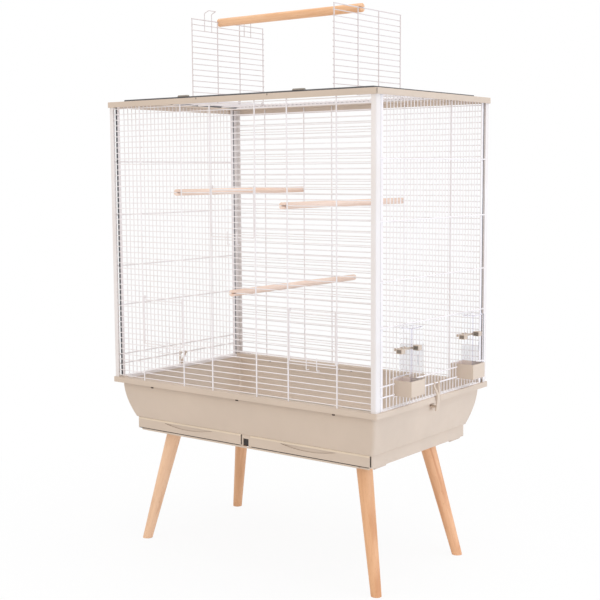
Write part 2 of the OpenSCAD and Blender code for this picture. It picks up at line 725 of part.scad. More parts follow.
roof_end_x = half_w - trim_in - trim_w - snug;
roof_end_y = half_d - trim_in - trim_w - snug;
module roof_grid() color(white) placed() {
    n = floor((roof_end_x - hatch_x - wire_d) / row_pitch);
    m = floor((hatch_x - wire_d) / row_pitch);
    // Thick wires along X: two beside the opening, two short pairs beyond it, two at the edges
    for (s = [-1, 1]) {
        wire_x(-roof_end_x, roof_end_x, s * (hatch_y + bar_off), thick_z, stay_d);
        wire_x(-roof_end_x, roof_end_x, s * (roof_end_y - stay_d), thick_z, stay_d);
        for (t = [-1, 1])
            wire_x(t > 0 ? hatch_x - wire_d : -roof_end_x, t > 0 ? roof_end_x : -hatch_x + wire_d,
                s * (hatch_mid + bar_off), thick_z, stay_d);
        // Hinge wire, then the thin wires beyond it and beside the opening
        wire_y(s * hatch_x, -roof_end_y, roof_end_y, thin_z, wire_d);
        for (k = [1:n]) wire_y(s * (hatch_x + k * row_pitch), -roof_end_y, roof_end_y, thin_z, wire_d);
        for (k = [-m:m]) wire_y(k * row_pitch, s > 0 ? hatch_y + bar_off - wire_d : -roof_end_y,
            s > 0 ? roof_end_y : -hatch_y - bar_off + wire_d, thin_z, wire_d);
    }
}

// Low oval knobs that hold the trim down
knob_h = 3.4;
knob_r = 5.6;
knob_taper = 2;
knob_len = 24;
module roof_knobs() color(dark) placed() for (sx = [-1, 1], sy = [-1, 1])
    translate([sx * knob_x, sy * knob_y, roof_top + trim_h]) {
        for (t = [-1, 1]) translate([t * knob_len / 2, 0, 0])
            cylinder(h = knob_h, r1 = knob_r, r2 = knob_r - knob_taper);
        rotate([90, 0, 90]) linear_extrude(height = knob_len, center = true)
            polygon([[-knob_r, 0], [knob_r, 0],
                [knob_r - knob_taper, knob_h], [knob_taper - knob_r, knob_h]]);
    }

// Roof door standing open: s = -1 left, 1 right; its plane lies just inside the hinge wire
function thin_x(s) = s * (hatch_x - hatch_loop - door_wire / 2 - wire_d / 2 - weld_gap);
module roof_door(s) color(white) placed() {
    x = s * (hatch_x - hatch_loop);
    top = thin_z + hatch_h;
    for (y = [-hatch_y, -hatch_mid, hatch_mid, hatch_y]) {
        translate([s * hatch_x, y, thin_z]) rotate([90, 0, 0]) rotate([0, 0, s > 0 ? 180 : 90])
            loop(hatch_loop, door_wire);
        wire_z(x, y, thin_z + weld_gap, top - door_wire, door_wire);
    }
    wire_y(x, -hatch_y - door_wire / 2, hatch_y + door_wire / 2, top - door_wire / 2 + weld_gap,
        door_wire);
    for (k = [1:hatch_rows]) wire_y(thin_x(s), -hatch_y - door_wire / 2, hatch_y + door_wire / 2,
        top - door_wire / 2 - k * row_pitch, wire_d);
}
module roof_door_left() roof_door(-1);
module roof_door_right() roof_door(1);

// U-shaped wire latches on the left roof door, which catch the right one when both are shut
hook_y = 73;
hook_shift = -6.5;
hook_up = 13;
hook_corner = 2;
hook_half = 12.5;
hook_low = thin_z + hatch_h - 2 * row_pitch - hook_corner;
hook_high = thin_z + hatch_h + hook_up;
hook_out = 14;
hook_rise = 6.5;
module roof_door_latches() color(white) placed() for (t = [-1, 1])
    translate([thin_x(-1) + wire_d + weld_gap, t * hook_y + hook_shift, 0]) bent_wire(concat(
        [[0, -hook_half, hook_low], [0, -hook_half, hook_high],
         [hook_corner, -hook_half, hook_high + hook_corner],
         [hook_out - 1, -hook_half, hook_high + hook_rise],
         [hook_out, -hook_half + 1, hook_high + hook_rise]],
        [[hook_out, hook_half - 1, hook_high + hook_rise], [hook_out - 1, hook_half, hook_high + hook_rise],
         [hook_corner, hook_half, hook_high + hook_corner], [0, hook_half, hook_high],
         [0, hook_half, hook_low]]), wire_d);

// ---- perches ----
// Perch along Y at x, gripping row n of both panels in slits cut in its ends
module perch(x, n) color(wood) placed() difference() {
    wire_y(x, -perch_reach, perch_reach, row_z(n), perch_d, $fn = 48);
    slit = wire_d + 2 * slit_gap;
    depth = perch_proud + wire_d / 2 + slit_gap;
    for (s = [-1, 1])
        translate([x - perch_d, s > 0 ? perch_reach - depth : -perch_reach - past, row_z(n) - slit / 2])
            cube([2 * perch_d, depth + past, slit]);
}
module perch_left() perch(-door_in - perch_side, left_grip);
module perch_right() perch(door_in - perch_side, right_grip);
module perch_low() perch(0, low_grip);

module top_perch() color(wood) placed() difference() {
    z = thin_z + hatch_h - door_wire / 2 + weld_gap;
    reach = hatch_x - hatch_loop + top_proud;
    slit = door_wire + 2 * slit_gap + 2 * snug;
    depth = top_proud + door_wire / 2 + slit_gap;
    translate([-reach, top_perch_y, z]) rotate([0, 90, 0]) cylinder(h = 2 * reach, d = top_perch_d);
    for (s = [-1, 1])
        translate([s > 0 ? reach - depth : -reach - past, top_perch_y - top_perch_d, z - slit / 2])
            cube([depth + past, 2 * top_perch_d, slit]);
}

// ---- feeders ----
module feeder_trough(f) color(beige) placed() translate([0, feeder_y(f), 0]) {
    len_x = trough_out_x - trough_in_x;
    difference() {
        translate([trough_in_x, -trough_w / 2, trough_z]) cube([len_x, trough_w, trough_h]);
        translate([trough_in_x + trough_t, -trough_w / 2 + trough_t, trough_z + trough_t])
            cube([len_x - 2 * trough_t, trough_w - 2 * trough_t, trough_h]);
    }
    for (t = [-1, 1]) translate([tank_x0, t * tank_w / 4 - trough_t / 2, trough_z + trough_t])
        cube([trough_out_x - trough_t - tank_x0, trough_t, rib_h]);
}
module feeder_trough_front() feeder_trough(feeder_front);
module feeder_trough_back() feeder_trough(feeder_back);

module feeder_tank(f) color(clear) placed() translate([0, feeder_y(f), 0]) difference() {
    translate([tank_x0, -tank_w / 2, tank_z]) cube([tank_x1 - tank_x0, tank_w, tank_h]);
    translate([tank_x0 + tank_t, -tank_w / 2 + tank_t, tank_z - past])
        cube([tank_x1 - tank_x0 - 2 * tank_t, tank_w - 2 * tank_t, tank_h + past - tank_t]);
    translate([tank_x0 - past, -tank_w / 2 + 3 * tank_t, tank_z - past])
        cube([tank_t + 2 * past, tank_w - 6 * tank_t, tank_notch + past]);
}
module feeder_tank_front() feeder_tank(feeder_front);
module feeder_tank_back() feeder_tank(feeder_back);

// Clip that ties a reservoir to the bars: a bar with two blocks, and lugs that turn behind the bars
module feeder_clip(f) color(beige) placed() translate([0, feeder_y(f), clip_z]) {
    x0 = trough_x + snug;
    in = tank_w / 2 + tank_gap;
    translate([x0, -in - strap_t, clip_bar_z])
        cube([tank_x0 - x0 - tank_gap, 2 * (in + strap_t), clip_bar_h]);
    for (t = [-1, 1]) {
        translate([x0 + clip_out, t > 0 ? in : -in - clip_block[1], 0]) difference() {
            cube(clip_block);
            translate([clip_wall, -past, clip_wall]) cube([clip_block[0] - 2 * clip_wall,
                clip_block[1] - 2 * clip_wall + past, clip_block[2] - 2 * clip_wall]);
        }
        translate([x0, t > 0 ? in : -in - strap_t, clip_bar_z]) cube([clip_out + touch, strap_t, clip_bar_h]);
        translate([side_x - lug_in, t * side_pitch - lug_w / 4, clip_bar_z])
            cube([x0 - side_x + lug_in + touch, lug_w / 2, clip_bar_h]);
        translate([side_x - lug_in - lug_t + touch, t * side_pitch - lug_w / 2, clip_bar_z - past])
            cube([lug_t, lug_w, clip_bar_h + 2 * past]);
    }
}
module feeder_clip_front() feeder_clip(feeder_front);
module feeder_clip_back() feeder_clip(feeder_back);

// ---- side latches ----
// Middle line of the lever: out over the rim, then back a little below it
lever = [[0, 0], [0.24, -8], [0.64, -16], [0.91, -24], [1, -31],
         [0.95, -38], [0.85, -46], [0.65, -54], [0.4, -62.5]];
tooth_x = side_stay_x - tub_hw + tooth_in;
tooth_drop = 14;
tooth_z = rim_z - tooth_drop;
module side_latch(s) color(beige) placed() translate([s * side_stay_x, latch_y, latch_z]) {
    eye_d = stay_d + 2 * latch_gap;
    fork = latch_w / 2 - arm_w;
    for (t = [-1, 1]) translate([0, t * (latch_w - arm_w) / 2, 0]) rotate([90, 0, 0]) difference() {
        cylinder(h = arm_w, d = eye_d + 2 * eye_t, center = true);
        cylinder(h = arm_w + 2 * past, d = eye_d, center = true);
    }
    difference() {
        rotate([90, 0, 0]) linear_extrude(height = latch_w, center = true) polygon(concat(
            [for (p = lever) [s * (p[0] * latch_bulge + latch_t / 2), p[1]]],
            [for (k = [len(lever) - 1:-1:0]) [s * (lever[k][0] * latch_bulge - latch_t / 2), lever[k][1]]]));
        rotate([90, 0, 0]) cylinder(h = latch_w + 2 * past, d = eye_d, center = true);
        // The gap between the arms, and what the tongue leaves out
        rotate([90, 0, 90]) linear_extrude(height = 2 * latch_w, center = true) {
            polygon([[-fork, latch_w], [-fork, -fork_high], [-past, -fork_low], [past, -fork_low],
                     [fork, -fork_high], [fork, latch_w]]);
            for (t = [-1, 1]) polygon([[t * latch_w, -fork_high], [t * latch_w / 2, -fork_high],
                [t * tongue_w / 2, -fork_low - arm_w], [t * tongue_w / 2, -4 * latch_w],
                [t * latch_w, -4 * latch_w]]);
        }
    }
    translate([s > 0 ? -tooth_x : -tooth_out, -tooth_w / 2, tooth_z - latch_z])
        cube([tooth_x + tooth_out, tooth_w, tooth_h]);
}
module side_latch_left() side_latch(-1);
module side_latch_right() side_latch(1);

tray();
floor_grate_left();
floor_grate_right();
base_frame();
base_pads();
drawer_left();
drawer_right();
leg_front_left();
leg_front_right();
leg_back_left();
leg_back_right();
leg_mounts();
hanger_bolts();
mount_screws();
post_front_left();
post_front_right();
post_back_left();
post_back_right();
corner_seals();
front_panel();
back_panel();
left_panel();
right_panel();
front_door_left();
front_door_middle();
front_door_right();
roof_frame();
roof_trim();
roof_grid();
roof_knobs();
roof_door_left();
roof_door_right();
roof_door_latches();
top_perch();
perch_left();
perch_right();
perch_low();
feeder_trough_front();
feeder_trough_back();
feeder_tank_front();
feeder_tank_back();
feeder_clip_front();
feeder_clip_back();
side_latch_left();
side_latch_right();
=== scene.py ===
"""Looks for a bird cage on a wooden stand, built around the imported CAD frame.

Metres, +Z up, front towards -Y.
"""
import json
import math

import bmesh
import bpy
from mathutils import Matrix, Vector
from mathutils.bvhtree import BVHTree


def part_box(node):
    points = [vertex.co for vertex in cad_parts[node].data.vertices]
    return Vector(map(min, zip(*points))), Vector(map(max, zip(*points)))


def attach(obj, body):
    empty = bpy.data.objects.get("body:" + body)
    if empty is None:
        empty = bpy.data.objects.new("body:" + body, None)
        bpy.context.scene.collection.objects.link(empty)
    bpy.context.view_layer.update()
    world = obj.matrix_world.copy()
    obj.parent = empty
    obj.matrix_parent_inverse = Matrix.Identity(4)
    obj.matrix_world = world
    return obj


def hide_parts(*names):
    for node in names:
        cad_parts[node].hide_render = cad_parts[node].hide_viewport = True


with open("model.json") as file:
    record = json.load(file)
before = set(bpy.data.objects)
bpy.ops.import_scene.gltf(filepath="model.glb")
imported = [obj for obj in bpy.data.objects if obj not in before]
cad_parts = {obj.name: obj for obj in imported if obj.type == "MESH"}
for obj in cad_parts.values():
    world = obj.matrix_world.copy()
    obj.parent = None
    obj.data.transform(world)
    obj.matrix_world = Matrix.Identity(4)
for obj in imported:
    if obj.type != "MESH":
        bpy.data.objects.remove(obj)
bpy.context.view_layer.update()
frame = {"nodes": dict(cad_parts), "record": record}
MM = 0.001
nodes = frame["nodes"]
body_of_node = {n: b for b, ns in frame["record"]["behaviour"]["bodies"].items() for n in ns}
slot_of_node = {p["node"]: p["material_slot"] for p in frame["record"]["subparts"]}

base_lo, base_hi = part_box("base_frame")
roof_lo, roof_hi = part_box("roof_frame")
MID_X = (roof_lo.x + roof_hi.x) / 2
RIM_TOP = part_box("tray")[1].z


# ---- camera ----
CAMERA_AT = (1.682981, -2.204139, 0.91237)
CAMERA_YAW = 0.654
CAMERA_PITCH = 0.110
CAMERA_ROLL = -0.0057
camera_data = bpy.data.cameras.new("camera")
camera_data.sensor_width = 36.0
camera_data.lens = 70.116
camera = bpy.data.objects.new("camera", camera_data)
bpy.context.scene.collection.objects.link(camera)
camera.matrix_world = (Matrix.Translation(CAMERA_AT) @ Matrix.Rotation(CAMERA_YAW, 4, "Z")
                       @ Matrix.Rotation(math.pi / 2 - CAMERA_PITCH, 4, "X")
                       @ Matrix.Rotation(CAMERA_ROLL, 4, "Z"))
bpy.context.scene.camera = camera


# ---- materials ----
def linear(r, g, b):
    """An 8-bit sRGB colour as linear RGBA."""
    def one(c):
        c /= 255
        return c / 12.92 if c <= 0.04045 else ((c + 0.055) / 1.055) ** 2.4
    return one(r), one(g), one(b), 1.0


class Nodes:
    """A material's node tree, with short calls for the nodes used here; turn rotates its coordinates."""

    def __init__(self, name, turn=None):
        self.turn = turn
        self.material = bpy.data.materials.new(name)
        self.material.use_nodes = True
        self.tree = self.material.node_tree
        self.tree.nodes.clear()
        self.out = self.add("ShaderNodeOutputMaterial")
        self.shader = self.add("ShaderNodeBsdfPrincipled")
        self.link(self.shader.outputs[0], self.out.inputs["Surface"])

    def add(self, kind, **values):
        node = self.tree.nodes.new(kind)
        for key, value in values.items():
            setattr(node, key, value)
        return node

    def link(self, a, b):
        self.tree.links.new(a, b)

    def coordinates(self, scale=(1, 1, 1)):
        where = self.add("ShaderNodeTexCoord").outputs["Object"]
        if self.turn:
            turned = self.add("ShaderNodeMapping")
            turned.inputs["Rotation"].default_value = self.turn
            self.link(where, turned.inputs["Vector"])
            where = turned.outputs["Vector"]
        mapping = self.add("ShaderNodeMapping")
        mapping.inputs["Scale"].default_value = scale
        self.link(where, mapping.inputs["Vector"])
        return mapping.outputs["Vector"]

    def noise(self, vector, scale, detail=3.0, rough=0.5, distortion=0.0):
        node = self.add("ShaderNodeTexNoise")
        node.inputs["Scale"].default_value = scale
        node.inputs["Detail"].default_value = detail
        node.inputs["Roughness"].default_value = rough
        node.inputs["Distortion"].default_value = distortion
        self.link(vector, node.inputs["Vector"])
        return node.outputs["Fac"]

    def ramp(self, factor, stops):
        node = self.add("ShaderNodeValToRGB")
        while len(node.color_ramp.elements) < len(stops):
            node.color_ramp.elements.new(0.5)
        for element, (at, colour) in zip(node.color_ramp.elements, stops):
            element.position = at
            element.color = colour
        self.link(factor, node.inputs["Fac"])
        return node.outputs["Color"]

    def mix(self, factor, a, b):
        node = self.add("ShaderNodeMix", data_type="RGBA")
        for socket, value in ((node.inputs["Factor"], factor), (node.inputs["A"], a), (node.inputs["B"], b)):
            if isinstance(value, (int, float, tuple)):
                socket.default_value = value
            else:
                self.link(value, socket)
        return node.outputs["Result"]

    def range(self, factor, low, high, from_low=0.0, from_high=1.0):
        node = self.add("ShaderNodeMapRange")
        node.inputs["From Min"].default_value = from_low
        node.inputs["From Max"].default_value = from_high
        node.inputs["To Min"].default_value = low
        node.inputs["To Max"].default_value = high
        self.link(factor, node.inputs["Value"])
        return node.outputs["Result"]

    def bump(self, height, strength, distance):
        node = self.add("ShaderNodeBump")
        node.inputs["Strength"].default_value = strength
        node.inputs["Distance"].default_value = distance
        self.link(height, node.inputs["Height"])
        self.link(node.outputs["Normal"], self.shader.inputs["Normal"])


def moulded(name, colour, dark_share=0.05, rough=(0.42, 0.56), grain=1800.0, grain_depth=0.05, wear=0.0):
    """Injection-moulded plastic: a cloudy tone, fine spark texture and slightly lighter worn edges."""
    m = Nodes(name)
    where = m.coordinates()
    cloud = m.noise(where, 7.0, 4.0, 0.55)
    speck = m.noise(where, 420.0, 2.0, 0.5)
    low = tuple(c * (1 - dark_share) for c in colour[:3]) + (1.0,)
    high = tuple(min(1.0, c * (1 + dark_share * 0.6)) for c in colour[:3]) + (1.0,)
    tone = m.ramp(cloud, ((0.3, low), (0.7, high)))
    tone = m.mix(m.range(speck, 0.0, 0.06, 0.45, 0.8), tone, tuple(c * 0.8 for c in colour[:3]) + (1.0,))
    if wear:
        edge = m.add("ShaderNodeNewGeometry").outputs["Pointiness"]
        tone = m.mix(m.range(edge, 0.0, wear, 0.52, 0.6), tone, high)
    m.link(tone, m.shader.inputs["Base Color"])
    m.link(m.range(m.noise(where, 60.0, 3.0), rough[0], rough[1], 0.3, 0.7), m.shader.inputs["Roughness"])
    m.shader.inputs["Specular IOR Level"].default_value = 0.4
    m.bump(m.noise(where, grain, 2.0, 0.6), grain_depth, 0.0004)
    return m.material


def coated(name, colour, rough=(0.28, 0.42)):
    """Powder-coated steel: smooth, with a faint orange-peel skin and slightly yellowed patches."""
    m = Nodes(name)
    where = m.coordinates()
    patch = m.noise(where, 9.0, 3.0, 0.5)
    dull = tuple(c * f for c, f in zip(colour[:3], (0.96, 0.945, 0.93))) + (1.0,)
    m.link(m.ramp(patch, ((0.35, dull), (0.65, colour))), m.shader.inputs["Base Color"])
    m.link(m.range(m.noise(where, 150.0, 2.0), rough[0], rough[1], 0.3, 0.7), m.shader.inputs["Roughness"])
    m.shader.inputs["Coat Weight"].default_value = 0.25
    m.shader.inputs["Coat Roughness"].default_value = 0.2
    m.bump(m.noise(where, 900.0, 2.0, 0.5), 0.12, 0.0003)
    return m.material


def beech(name, light, deep, fleck, turn=None):
    """Beech along the piece's own Z axis, or the axis that the turn brings to Z: long soft grain, short dark
    flecks and a few small knots."""
    m = Nodes(name, turn)
    along = m.coordinates((1, 1, 0.06))
    grain = m.noise(along, 240.0, 5.0, 0.6, 0.4)
    broad = m.noise(m.coordinates((1, 1, 0.14)), 34.0, 3.0, 0.5, 1.2)
    sunlit = tuple(min(1, c * 1.06) for c in light[:3]) + (1.0,)
    tone = m.ramp(broad, ((0.28, deep), (0.5, light), (0.75, sunlit)))
    tone = m.mix(m.range(grain, 0.0, 0.34, 0.46, 0.72), tone, deep)
    rays = m.noise(m.coordinates((1, 1, 0.16)), 620.0, 2.0, 0.5)
    tone = m.mix(m.range(rays, 0.0, 0.45, 0.62, 0.78), tone, fleck)
    knots = m.add("ShaderNodeTexVoronoi", feature="F1")
    knots.inputs["Scale"].default_value = 11.0
    m.link(m.coordinates((1, 1, 0.55)), knots.inputs["Vector"])
    tone = m.mix(m.range(knots.outputs["Distance"], 0.55, 0.0, 0.0, 0.11), tone, fleck)
    m.link(tone, m.shader.inputs["Base Color"])
    m.link(m.range(grain, 0.42, 0.6, 0.3, 0.7), m.shader.inputs["Roughness"])
    m.shader.inputs["Specular IOR Level"].default_value = 0.35
    m.bump(grain, 0.1, 0.0004)
    return m.material


def clear(name, low, high, ior):
    """Clear polystyrene with a faint lavender cast and a wavy moulded skin."""
    m = Nodes(name)
    where = m.coordinates()
    m.link(m.ramp(m.noise(where, 24.0, 2.0), ((0.3, low), (0.7, high))), m.shader.inputs["Base Color"])
    m.shader.inputs["Transmission Weight"].default_value = 1.0
    m.shader.inputs["IOR"].default_value = ior
    m.link(m.range(m.noise(where, 90.0, 2.0), 0.0, 0.008, 0.4, 0.7), m.shader.inputs["Roughness"])
    m.bump(m.noise(where, 30.0, 1.0), 0.008, 0.0005)
    return m.material


def plated(name, colour):
    """Zinc-plated steel with fine turning marks."""
    m = Nodes(name)
    where = m.coordinates()
    dull = tuple(c * 0.8 for c in colour[:3]) + (1.0,)
    m.link(m.ramp(m.noise(where, 300.0, 3.0), ((0.3, dull), (0.7, colour))), m.shader.inputs["Base Color"])
    m.shader.inputs["Metallic"].default_value = 1.0
    turned = m.noise(m.coordinates((1, 1, 12)), 200.0)
    m.link(m.range(turned, 0.25, 0.45, 0.3, 0.7), m.shader.inputs["Roughness"])
    m.bump(m.noise(m.coordinates((1, 1, 14)), 260.0), 0.15, 0.0002)
    return m.material


BEIGE = linear(211, 193, 175)
# The finish of each material slot in the record
MATERIALS = {
    "beige_plastic": moulded("beige_moulding", BEIGE, wear=0.35),
    "grey_plastic": moulded("grey_moulding", linear(176, 172, 160)),
    "dark_plastic": moulded("dark_moulding", linear(92, 92, 96), 0.12),
    "white_plastic": coated("white_profile", linear(236, 230, 227), (0.34, 0.48)),
    "coated_wire": coated("white_coated_wire", linear(243, 238, 238)),
    "beech": beech("beech_grain", linear(240, 194, 153), linear(224, 168, 120), linear(186, 126, 82)),
    "dark_metal": coated("dark_coated_steel", linear(70, 70, 74), (0.4, 0.55)),
    "plated_steel": plated("zinc_plate", linear(196, 197, 202)),
    "clear_plastic": clear("clear_moulding", (0.99, 0.991, 0.998, 1.0), (0.997, 0.997, 1.0, 1.0), 1.03),
}
# Finishes of single pieces, and of some faces of a piece
PALE_BEECH = beech("pale_beech_grain", linear(243, 219, 203), linear(235, 202, 180), linear(216, 172, 142))
# Paler beige for inner faces of the tub and the roof frame: painted light, lifting the shade that falls
# inside them
INNER_PAINTED_LIGHT = moulded("inner_painted_light_moulding", linear(224, 209, 194))
# Much paler beige inside the troughs: painted light against the shade in their depth
TROUGH_PAINTED_LIGHT = moulded("trough_painted_light", linear(246, 231, 222))
# Lighter, yellower beige on the slope along each drawer's top: a painted highlight where the top light falls
LIP_PAINTED_HIGHLIGHT = moulded("lip_painted_highlight_moulding", linear(230, 213, 190))
# Dark brown on the edges of each drawer's handle recess: painted shade in the recess
CREASE_PAINTED_SHADE = moulded("crease_painted_shade_moulding", linear(160, 138, 116))
# Greyer white for the roof doors' wires: painted shade, as they stand against bright light
DOOR_WIRE_PAINTED_SHADE = coated("door_wire", linear(220, 211, 210))
# Deeper lavender on the tanks' bevelled edges: painted shading that stands in for light bent along each clear
# edge
TANK_EDGE_PAINTED_REFRACTION = clear("clear_edge_painted_refraction", linear(224, 221, 236), linear(236, 234, 245), 1.02)


# ---- mesh helpers ----
def finish_piece(obj, body, slot, material=None, replaced=None):
    """The piece's finish, the body it rides on, and the CAD node that it stands for, if any."""
    obj.data.materials.clear()
    obj.data.materials.append(material or MATERIALS[slot])
    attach(obj, body)
    if replaced:
        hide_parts(replaced)
    return obj


def bevel_sharp(bm, width, segments=2, angle=32.0):
    """Rounds the edges where two faces meet at more than the angle."""
    edges = [e for e in bm.edges if len(e.link_faces) == 2 and e.calc_face_angle(0) > math.radians(angle)]
    bmesh.ops.bevel(bm, geom=edges, offset=width, offset_type="OFFSET", segments=segments, profile=0.6,
                    affect="EDGES", clamp_overlap=True)


def smooth_by_angle(mesh, degrees):
    """Smooth faces, with sharp edges where two faces meet at more than the angle."""
    bm = bmesh.new()
    bm.from_mesh(mesh)
    limit = math.radians(degrees)
    for face in bm.faces:
        face.smooth = True
    for edge in bm.edges:
        edge.smooth = len(edge.link_faces) == 2 and edge.calc_face_angle(math.pi) < limit
    bm.to_mesh(mesh)
    bm.free()


def from_bmesh(name, bm, angle=35.0, bevel=0.0, segments=2):
    """A new object from a bmesh, with bevelled sharp edges."""
    mesh = bpy.data.meshes.new(name)
    if bevel:
        bevel_sharp(bm, bevel, segments)
    bmesh.ops.recalc_face_normals(bm, faces=bm.faces)
    bm.to_mesh(mesh)
    bm.free()
    smooth_by_angle(mesh, angle)
    obj = bpy.data.objects.new(name, mesh)
    bpy.context.scene.collection.objects.link(obj)
    return obj


def cad_bmesh(node, flat):
    """The CAD node's mesh, with triangles that lie within flat degrees of each other joined into one face."""
    bm = bmesh.new()
    bm.from_mesh(nodes[node].data)
    bmesh.ops.remove_doubles(bm, verts=bm.verts, dist=0.01 * MM)
    if flat:
        bmesh.ops.dissolve_limit(bm, angle_limit=math.radians(flat), verts=bm.verts, edges=bm.edges,
                                 delimit={"NORMAL"})
    return bm


def dressed(node, bevel=0.0, segments=2, angle=35.0, flat=1.0, material=None):
    """A finished piece in the CAD node's shape, with rounded edges and smooth shading."""
    bm = cad_bmesh(node, flat if bevel else 0)
    obj = from_bmesh(node + "_piece", bm, angle, bevel, segments)
    return finish_piece(obj, body_of_node[node], slot_of_node[node], material, node)


def repaint(obj, material, wanted):
    """Another material on the faces that the test picks out."""
    obj.data.materials.append(material)
    index = len(obj.data.materials) - 1
    for face in obj.data.polygons:
        if wanted(face):
            face.material_index = index


# ---- wires ----
WIRE_NODES = ("front_panel", "back_panel", "left_panel", "right_panel", "roof_grid",
              "roof_door_left", "roof_door_right", "roof_door_latches",
              "front_door_left", "front_door_middle", "front_door_right")
# The roof doors' wires take the greyer white as painted shade
for name in WIRE_NODES:
    dressed(name, angle=40.0, material=DOOR_WIRE_PAINTED_SHADE if name.startswith("roof_door") else None)


# ---- tray, base and roof ----
# A face whose normal's Z reaches LEVEL lies level
LEVEL = 0.999
TUB_EDGE = RIM_TOP - 1 * MM
TUB_FLOOR = RIM_TOP - 20 * MM


def looks_inward(face):
    """Whether a face is turned towards the upright line through the cage's middle."""
    return face.normal.x * (face.center.x - MID_X) + face.normal.y * face.center.y < 0


def in_tub(face):
    """Whether a face of the tray is on its tub's inner wall or floor."""
    wall = looks_inward(face) and face.normal.z < LEVEL and face.center.z < TUB_EDGE
    floor = face.normal.z > 0.9 and face.center.z < TUB_FLOOR
    return wall or floor


tray = dressed("tray", bevel=0.9 * MM, segments=3, angle=28.0, flat=0.3)
# The tub's inner walls and floor take the paler beige as painted light
repaint(tray, INNER_PAINTED_LIGHT, in_tub)
dressed("base_frame", bevel=0.4 * MM, flat=0.5)
dressed("base_pads", bevel=0.6 * MM, segments=3, flat=0.5)
roof = dressed("roof_frame", bevel=0.8 * MM, segments=3, flat=0.5)
# The roof frame's inward faces take the same paler beige as painted light
repaint(roof, INNER_PAINTED_LIGHT, lambda face: looks_inward(face) and abs(face.normal.z) < 0.5)
dressed("roof_trim", bevel=1.0 * MM, flat=0.5)
dressed("roof_knobs", bevel=0.5 * MM, flat=0.5, material=moulded("knob_moulding", linear(150, 143, 134)))


# ---- drawers ----
DRAWERS = ("drawer_left", "drawer_right")
# The Y in front of which a face belongs to a drawer's front, and the Z of its lip and of its handle recess
FRONT_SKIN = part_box("drawer_left")[0].y + 2.3 * MM
LIP_FROM = base_hi.z - 7 * MM
RECESS_FROM = base_lo.z + 8 * MM
RECESS_TO = base_hi.z - 5 * MM


def on_lip(face):
    """Whether a face is on the slope along the top of a drawer's front."""
    slope = face.normal.z > 0.25 and face.normal.y < -0.25
    return slope and face.center.y < FRONT_SKIN and face.center.z > LIP_FROM


def in_recess(face):
    """Whether a face is on the edge of a drawer's handle recess."""
    edge = abs(face.normal.y) < 0.4 and abs(face.normal.z) > 0.3
    return edge and face.center.y < FRONT_SKIN and RECESS_FROM < face.center.z < RECESS_TO


for name in DRAWERS:
    drawer = dressed(name, bevel=0.4 * MM, flat=0.5)
    # The slope along the drawer's top takes the painted highlight
    repaint(drawer, LIP_PAINTED_HIGHLIGHT, on_lip)
    # The handle recess's edges take the painted shade
    repaint(drawer, CREASE_PAINTED_SHADE, lambda face: in_recess(face) and not on_lip(face))
for name in ("post_front_left", "post_front_right", "post_back_left", "post_back_right"):
    dressed(name, bevel=0.3 * MM, flat=0.5)


# ---- feeders, latches and hidden fixings ----
# How far in from a trough's box its inside starts: at the walls and floor, and at the open top
TROUGH_WALL = 1.2 * MM
TROUGH_EDGE = 0.2 * MM


def in_trough(face, low, high):
    """Whether a face of a trough is inside its walls and above its floor."""
    across = all(a + TROUGH_WALL < c < b - TROUGH_WALL for a, b, c in zip(low[:2], high[:2], face.center[:2]))
    return across and low.z + TROUGH_WALL < face.center.z < high.z - TROUGH_EDGE


for name in ("feeder_trough_front", "feeder_trough_back"):
    trough = dressed(name, bevel=0.5 * MM, segments=3)
    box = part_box(name)
    # The troughs' insides take the paler beige as painted light
    repaint(trough, TROUGH_PAINTED_LIGHT, lambda face: in_trough(face, *box))
for name in ("feeder_clip_front", "feeder_clip_back"):
    dressed(name, bevel=0.6 * MM)
# The tanks' bevelled edges take the deeper lavender as painted refraction
for name in ("feeder_tank_front", "feeder_tank_back"):
    tank = dressed(name, bevel=0.8 * MM, segments=1)
    repaint(tank, TANK_EDGE_PAINTED_REFRACTION, lambda face: max(abs(c) for c in face.normal) < 0.98)
for name in ("side_latch_left", "side_latch_right"):
    dressed(name, bevel=0.4 * MM, flat=0.5)
for name in ("floor_grate_left", "floor_grate_right", "corner_seals",
             "leg_mounts", "hanger_bolts", "mount_screws"):
    dressed(name)


# ---- wood ----
# How far a leg's foot stands out from its top, along X and Y
SPLAY_X = 60 * MM
SPLAY_Y = 42 * MM
LEG_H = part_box("leg_front_left")[1].z
# Each leg's side along X and Y, and its beech: light wood, deep wood and flecks. The tones differ from leg to
# leg as painted light, the front left leg lightest and the back left leg darkest
LEGS_WITH_PAINTED_LIGHT = (("leg_front_left", -1, -1, (240, 200, 165), (226, 178, 140), (190, 134, 94)),
        ("leg_front_right", 1, -1, (232, 180, 136), (208, 148, 104), (172, 110, 68)),
        ("leg_back_left", -1, 1, (226, 178, 138), (204, 152, 110), (168, 112, 74)),
        ("leg_back_right", 1, 1, (236, 184, 142), (214, 154, 112), (176, 114, 74)))
# Angles about the wood's own axis, in radians, so that no two pieces show the same grain
LEG_GRAIN = (0.7, 2.6, 4.5, 6.4)
PERCH_GRAIN = (0.4, 1.7, 3.0)
TOP_PERCH_GRAIN = 0.9


def wooden(node, axis, turn, bevel, material=None):
    """The CAD shape in a frame of its own whose Z runs along the wood, so that the grain follows it."""
    low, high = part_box(node)
    along = Vector(axis).to_track_quat("Z", "Y").to_matrix().to_4x4()
    place = Matrix.Translation((low + high) / 2) @ along @ Matrix.Rotation(turn, 4, "Z")
    bm = cad_bmesh(node, 0.5)
    bevel_sharp(bm, bevel, angle=50.0)
    bmesh.ops.transform(bm, matrix=place.inverted(), verts=bm.verts)
    obj = from_bmesh(node + "_piece", bm)
    obj.matrix_world = place
    return finish_piece(obj, body_of_node[node], "beech", material, node)


